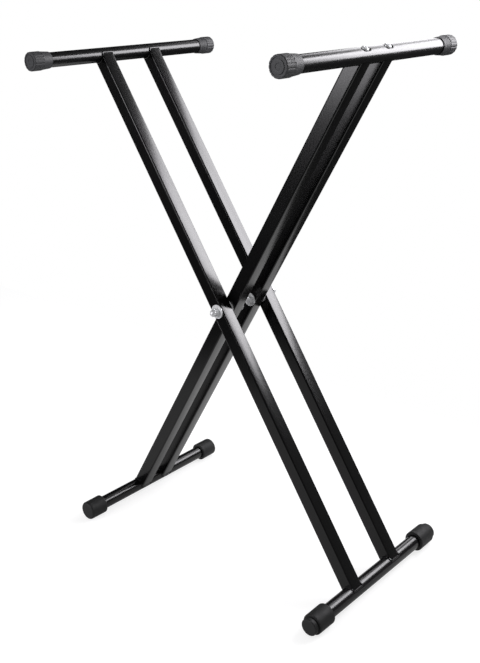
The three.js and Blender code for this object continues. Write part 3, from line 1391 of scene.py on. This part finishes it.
@dataclass
class LegFrame:
    """One leaning frame: two tubes, two bars, four caps and the welds between them."""

    prefix: str
    pose: LegPose
    foot_style: FootStyle
    top_welded: bool
    cap_gap: float = 0.15 * MM
    grip_radius: float = 15.95 * MM

    def build(self, shop: Workshop) -> None:
        """Makes every piece of the frame.

        Args:
            shop: The workshop that finishes them.
        """
        bar_radius = extent(f"{self.prefix}_foot_bar").x / 2
        for side in SIDES:
            node = f"{self.prefix}_tube_{side}"
            across = centre(node).y
            place = self.pose.matrix() @ Matrix.Translation((0, across, 0))
            tube = LegTube(self.pose, extent(node).y, bar_radius)
            shop.redo(node, tube.build(), place, self.pose.body, Finishes.paint)
            self._welds(shop, side, tube, across)
        self._bars(shop, bar_radius)
        for side in SIDES:
            self._grip_cap(shop, side, bar_radius + self.cap_gap)
            self._foot_cap(shop, side, bar_radius + self.cap_gap)

    def _welds(self, shop: Workshop, side: str, tube: LegTube, across: float) -> None:
        """Makes the beads at the welded ends of one tube.

        Args:
            shop: The workshop that finishes them.
            side: The tube's side.
            tube: The tube.
            across: The tube's place along the bars.
        """
        ends = [("foot", -self.pose.lower)]
        if self.top_welded:
            ends.append(("top", self.pose.upper))
        for end, along in ends:
            bead = WeldBead(tube.side, tube.corner, tube.bar_radius).build(upward=along > 0)
            place = self.pose.bar_matrix(along) @ Matrix.Translation((0, across, 0))
            shop.piece(f"{self.prefix}_{end}_weld_{side}", bead, place, self.pose.body, Finishes.paint)

    def _bars(self, shop: Workshop, radius: float) -> None:
        """Makes the support bar and the foot bar.

        Args:
            shop: The workshop that finishes them.
            radius: The bars' radius.
        """
        top, foot = f"{self.prefix}_top_bar", f"{self.prefix}_foot_bar"
        if self.top_welded:
            support = Bar(extent(top).y, radius)
        else:
            places = tuple(centre(f"bar_screw_{side}").y for side in SIDES)
            support = ScrewedBar(extent(top).y, radius, screw_places=places)
        rest = Bar(extent(foot).y, radius)
        for node, bar, along in ((top, support, self.pose.upper), (foot, rest, -self.pose.lower)):
            place = self.pose.bar_matrix(along)
            shop.redo(node, bar.build(), place, self.pose.body, Finishes.bar_paint)

    def _grip_cap(self, shop: Workshop, side: str, bore: float) -> None:
        """Makes one plastic cap on the support bar.

        Args:
            shop: The workshop that finishes it.
            side: The cap's side.
            bore: The radius of its bore.
        """
        node = f"{self.prefix}_top_cap_{side}"
        mouth, end = span(node)
        cap = GripCap(bore, self.grip_radius, end - mouth)
        slide = Matrix.Translation((0, SIDES[side] * mouth, 0))
        place = self.pose.bar_matrix(self.pose.upper) @ slide @ facing(side)
        shop.redo(node, cap.build(), place, self.pose.body, Finishes.plastic)

    def _foot_cap(self, shop: Workshop, side: str, bore: float) -> None:
        """Makes one rubber foot.

        Args:
            shop: The workshop that finishes it.
            side: The foot's side.
            bore: The radius of its bore.
        """
        node = f"{self.prefix}_foot_cap_{side}"
        low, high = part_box(node)
        mouth, end = span(node)
        axis = centre(f"{self.prefix}_foot_bar")
        foot = FootCap(self.foot_style, bore, (high.x - low.x) / 2, end - mouth, -axis.z)
        place = Matrix.Translation((axis.x, SIDES[side] * mouth, axis.z)) @ facing(side)
        shop.redo(node, foot.build(), place, self.pose.body, Finishes.rubber)


@dataclass
class BarFixing:
    """A screw and its plug, which hold the inner frame's support bar."""

    side: str
    pose: LegPose
    head_height: float = 3.4 * MM
    seat: float = 11.2 * MM
    plug_height: float = 16.0 * MM
    plug_top: float = 14.0 * MM
    grip: float = 12.0 * MM

    def build(self, shop: Workshop) -> None:
        """Makes the screw and the plug.

        Args:
            shop: The workshop that finishes them.
        """
        screw_node, plug_node = f"bar_screw_{self.side}", f"tube_plug_{self.side}"
        size, across = extent(screw_node), centre(screw_node).y
        along = self.pose.bar_matrix(self.pose.upper) @ Matrix.Translation((0, across, 0))
        screw = BarScrew(size.y / 2, self.head_height, self.seat + self.plug_top + self.grip)
        plug = TubePlug(extent(plug_node).y, self.plug_height)
        for node, piece, height in ((screw_node, screw, self.seat), (plug_node, plug, -self.plug_top)):
            place = along @ Matrix.Translation((0, 0, height))
            shop.redo(node, piece.build(), place, Body.INNER, Finishes.zinc)


# ---- Studio ----


@dataclass(frozen=True)
class SoftBox:
    """An upright rectangular lamp that faces the stand. The camera doesn't see it.

    Azimuth 0 is +X and 90 is +Y, in degrees, seen from the stand.
    """

    name: str
    azimuth: float
    distance: float
    low: float
    high: float
    width: float
    brightness: float
    tint: Colour = (0.98, 0.965, 1.0)

    def build(self) -> None:
        """Hangs the lamp."""
        light = bpy.data.lights.new(self.name, "AREA")
        light.color = self.tint
        light.shape = "RECTANGLE"
        light.size, light.size_y = self.width, self.high - self.low
        light.energy = self.brightness * math.pi * light.size * light.size_y
        turn = math.radians(self.azimuth)
        outward = Vector((math.cos(turn), math.sin(turn), 0))
        lamp = add_object(self.name, light)
        place = outward * self.distance + Vector((0, 0, (self.high + self.low) / 2))
        facing_in = (-outward).to_track_quat("-Z", "Y").to_matrix().to_4x4()
        lamp.matrix_world = Matrix.Translation(place) @ facing_in
        lamp.visible_camera = False
        log.info("%s hung, %.2f m by %.2f m", self.name, light.size, light.size_y)


@dataclass(frozen=True)
class Studio:
    """The paper floor, a dome and a sheet that show only in reflections as painted dark reflections and
    painted shade, the lamps and the world.
    """

    paper_left: float = -2.6
    paper_right: float = 2.2
    paper_front: float = -2.2
    paper_back: float = 0.66
    paper_colour: Colour = (0.35, 0.35, 0.35)
    paper_lift: float = 0.75
    fill: float = 0.45
    # Painted dark reflections: a dome seen only in gloss, with a painted glow from low to high.
    reflection_dome_radius: float = 6.5
    reflection_dome_height: float = 6.5
    reflection_dome_drop: float = 10.0 * MM
    reflection_dome_segments: int = 48
    painted_dark_reflection_colour: Colour = (0.0, 0.0, 0.0)
    painted_reflection_glow_low: float = 0.02
    painted_reflection_glow_high: float = 0.12
    # Painted shade in reflections: where along Y the sheet on the paper darkens the paper's reflection, and
    # how much.
    painted_shade_back: Point2 = (0.0, 0.2)
    painted_shade_front: Point2 = (-0.72, -0.4)
    painted_shade_cover: float = 0.62
    painted_shade_back_cover: float = 0.2
    painted_shade_lift: float = 0.3 * MM
    roughness: float = 0.9

    def build(self) -> None:
        """Makes the whole studio."""
        self._stage("floor_paper", self._sheet(0.0), self._paper())
        self._painted_reflection_dome()
        self._painted_floor_shade()
        self._world()
        for lamp in self._lamps():
            lamp.build()

    def _lamps(self) -> tuple[SoftBox, ...]:
        """Lists the lamps.

        Returns:
            The lamps, each with its azimuth and its distance first.
        """
        return (
            SoftBox("back_softbox", 50, 1.3, low=0.875, high=1.75, width=0.39, brightness=13.0),
            SoftBox("side_softbox", 70, 1.3, low=0.9, high=1.72, width=0.54, brightness=10.0),
            SoftBox("high_strip", 97, 1.3, low=1.4, high=1.9, width=0.62, brightness=3.5),
            SoftBox("low_strip", 108, 1.35, low=0.6, high=1.4, width=0.36, brightness=3.4),
            SoftBox("front_panel", -111, 5.0, low=0.35, high=3.2, width=3.0, brightness=6.0),
        )

    def _sheet(self, height: float) -> Mesh:
        """Makes a flat sheet of the paper's size.

        Args:
            height: Its height above the floor.

        Returns:
            The sheet.
        """
        mesh = bmesh.new()
        bmesh.ops.create_grid(mesh, x_segments=1, y_segments=1, size=0.5)
        size = (self.paper_right - self.paper_left, self.paper_back - self.paper_front, 1)
        bmesh.ops.scale(mesh, vec=size, verts=mesh.verts)
        across, deep = self.paper_right + self.paper_left, self.paper_back + self.paper_front
        bmesh.ops.translate(mesh, vec=(across / 2, deep / 2, height), verts=mesh.verts)
        return mesh

    def _stage(self, name: str, mesh: Mesh, material: bpy.types.Material) -> bpy.types.Object:
        """Makes a part of the studio.

        Args:
            name: Its name.
            mesh: Its mesh, which is freed.
            material: Its material.

        Returns:
            The object.
        """
        thing = mesh_object(name, mesh)
        thing.data.materials.append(material)
        return thing

    def _painted_reflection_dome(self) -> None:
        """Puts a dark dome all round that shows only in reflections: a painted dark reflection, with a
        painted glow that grows towards +X and +Y.
        """
        mesh = cylinder(self.reflection_dome_radius, self.reflection_dome_height, self.reflection_dome_segments)
        middle = self.reflection_dome_height / 2 - self.reflection_dome_drop
        bmesh.ops.translate(mesh, vec=(0, 0, middle), verts=mesh.verts)
        bmesh.ops.reverse_faces(mesh, faces=mesh.faces)
        material = self._cloth("painted_reflection_dome_dark", self.painted_dark_reflection_colour)
        tree = material.node_tree
        place = split_coordinates(tree)
        # Painted reflection light: the dome's glow rises from low to high towards +X and +Y.
        across = math_node(tree, "ADD", place["X"], place["Y"])
        lights = (self.painted_reflection_glow_low, self.painted_reflection_glow_high)
        glow = range_node(tree, across, (0.0, self.reflection_dome_radius), lights)
        tree.links.new(glow, tree.nodes["Principled BSDF"].inputs["Emission Strength"])
        gloss_only(self._stage("dark_painted_reflection_dome", mesh, material))

    def _painted_floor_shade(self) -> None:
        """Lays a dark sheet with a faint painted glow on the paper, which shows only in reflections: painted
        shade that darkens the paper's reflection a little behind the stand and fully in front of it.
        """
        material = self._cloth("painted_floor_shade", self.painted_dark_reflection_colour)
        tree = material.node_tree
        shader = tree.nodes["Principled BSDF"]
        shader.inputs["Emission Strength"].default_value = self.painted_reflection_glow_low
        along = split_coordinates(tree)["Y"]
        # Painted shade in reflections: the sheet's cover is thin behind the stand and full towards the
        # front.
        thin = range_node(tree, along, self.painted_shade_back, (self.painted_shade_cover, self.painted_shade_back_cover))
        full = range_node(tree, along, self.painted_shade_front, (1.0, 0.0))
        cover = math_node(tree, "MAXIMUM", thin, full)
        tree.links.new(cover, shader.inputs["Alpha"])
        gloss_only(self._stage("painted_floor_shade", self._sheet(self.painted_shade_lift), material))

    def _cloth(self, name: str, colour: Colour) -> bpy.types.Material:
        """Makes a dull material that can give off a white light of its own.

        Args:
            name: The material's name.
            colour: Its colour.

        Returns:
            The material.
        """
        material = bpy.data.materials.new(name)
        material.use_nodes = True
        shader = material.node_tree.nodes["Principled BSDF"]
        shader.inputs["Base Color"].default_value = (*colour, 1.0)
        shader.inputs["Roughness"].default_value = self.roughness
        shader.inputs["Specular IOR Level"].default_value = 0.0
        shader.inputs["Emission Color"].default_value = WHITE
        return material

    def _paper(self) -> bpy.types.Material:
        """Makes the paper, which is lifted to white where it is seen.

        Returns:
            The material.
        """
        material = self._cloth("studio_paper", self.paper_colour)
        tree = material.node_tree
        light = math_node(tree, "MULTIPLY", seen_rays(tree), self.paper_lift)
        tree.links.new(light, tree.nodes["Principled BSDF"].inputs["Emission Strength"])
        return material

    def _world(self) -> None:
        """Makes the world: plain white where it is seen, and a soft fill elsewhere."""
        world = bpy.data.worlds.new("studio")
        world.use_nodes = True
        bpy.context.scene.world = world
        tree = world.node_tree
        background = tree.nodes["Background"]
        background.inputs["Color"].default_value = WHITE
        light = math_node(tree, "MAXIMUM", seen_rays(tree), self.fill)
        tree.links.new(light, background.inputs["Strength"])


def split_coordinates(tree: Tree) -> bpy.types.bpy_prop_collection:
    """Splits a piece's own coordinates.

    Args:
        tree: The node tree that gets the nodes.

    Returns:
        The sockets X, Y and Z.
    """
    split = tree.nodes.new("ShaderNodeSeparateXYZ")
    tree.links.new(object_coordinates(tree), split.inputs["Vector"])
    return split.outputs


def gloss_only(thing: bpy.types.Object) -> None:
    """Lets a part of the studio show in reflections and nowhere else."""
    thing.visible_camera = thing.visible_diffuse = thing.visible_shadow = False
    thing.visible_transmission = thing.visible_volume_scatter = False


def seen_rays(tree: Tree) -> Socket:
    """Tells the rays that show the background: the camera's, and those in gloss and glass.

    Args:
        tree: The node tree that asks.

    Returns:
        1 for such a ray, and 0 for any other.
    """
    rays = tree.nodes.new("ShaderNodeLightPath")
    shown = math_node(tree, "MAXIMUM", rays.outputs["Is Camera Ray"], rays.outputs["Is Glossy Ray"])
    return math_node(tree, "MAXIMUM", shown, rays.outputs["Is Transmission Ray"])


@dataclass(frozen=True)
class PhotoCamera:
    """The camera, as the photograph's straight edges place it."""

    pivot_height: float
    place_x: float = 1.0325
    place_y: float = -1.1601
    above_pivot: float = 0.5137
    heading: float = math.radians(46.105)
    downward: float = math.radians(18.19)
    roll: float = math.radians(-2.601)
    focal_pixels: float = 917.7
    frame_height: int = 663
    axis_left: float = 30.0
    axis_above: float = 30.6
    sensor: float = 36.0
    nearest: float = 0.05
    farthest: float = 50.0

    def build(self) -> None:
        """Sets the camera up and makes it the scene's own."""
        data = bpy.data.cameras.new("photo_camera")
        data.sensor_width = self.sensor
        data.lens = self.sensor * self.focal_pixels / self.frame_height
        data.shift_x = self.axis_left / self.frame_height
        data.shift_y = -self.axis_above / self.frame_height
        data.clip_start, data.clip_end = self.nearest, self.farthest
        camera = add_object("photo_camera", data)
        level, drop = math.cos(self.downward), math.sin(self.downward)
        forward = Vector((-math.cos(self.heading) * level, math.sin(self.heading) * level, -drop))
        flat_right = forward.cross(Vector((0, 0, 1))).normalized()
        flat_up = flat_right.cross(forward)
        right = flat_right * math.cos(self.roll) + flat_up * math.sin(self.roll)
        up = right.cross(forward)
        axes = Matrix((right, up, -forward)).transposed().to_4x4()
        location = Vector((self.place_x, self.place_y, self.pivot_height + self.above_pivot))
        camera.matrix_world = Matrix.Translation(location) @ axes
        bpy.context.scene.camera = camera
        log.info("camera ready")


def main() -> None:
    """Builds the camera, the stand and the studio."""
    logging.basicConfig(level=logging.INFO, format="%(name)s: %(message)s")
    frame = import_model()
    bpy.context.scene.view_settings.view_transform = "Standard"
    pivot = Vector(frame["joints"][0]["pos_m"])
    PhotoCamera(pivot_height=pivot.z).build()
    shop = Workshop(Finishes(Effects()))
    outer = LegPose.from_frame(Body.OUTER, "outer", pivot)
    inner = LegPose.from_frame(Body.INNER, "inner", pivot)
    LegFrame("outer", outer, FootStyle.STEPPED, top_welded=True).build(shop)
    LegFrame("inner", inner, FootStyle.PLAIN, top_welded=False).build(shop)
    for side in SIDES:
        PivotSet(side, pivot).build(shop)
        BarFixing(side, inner).build(shop)
    Studio().build()


if __name__ == "__main__":
    main()
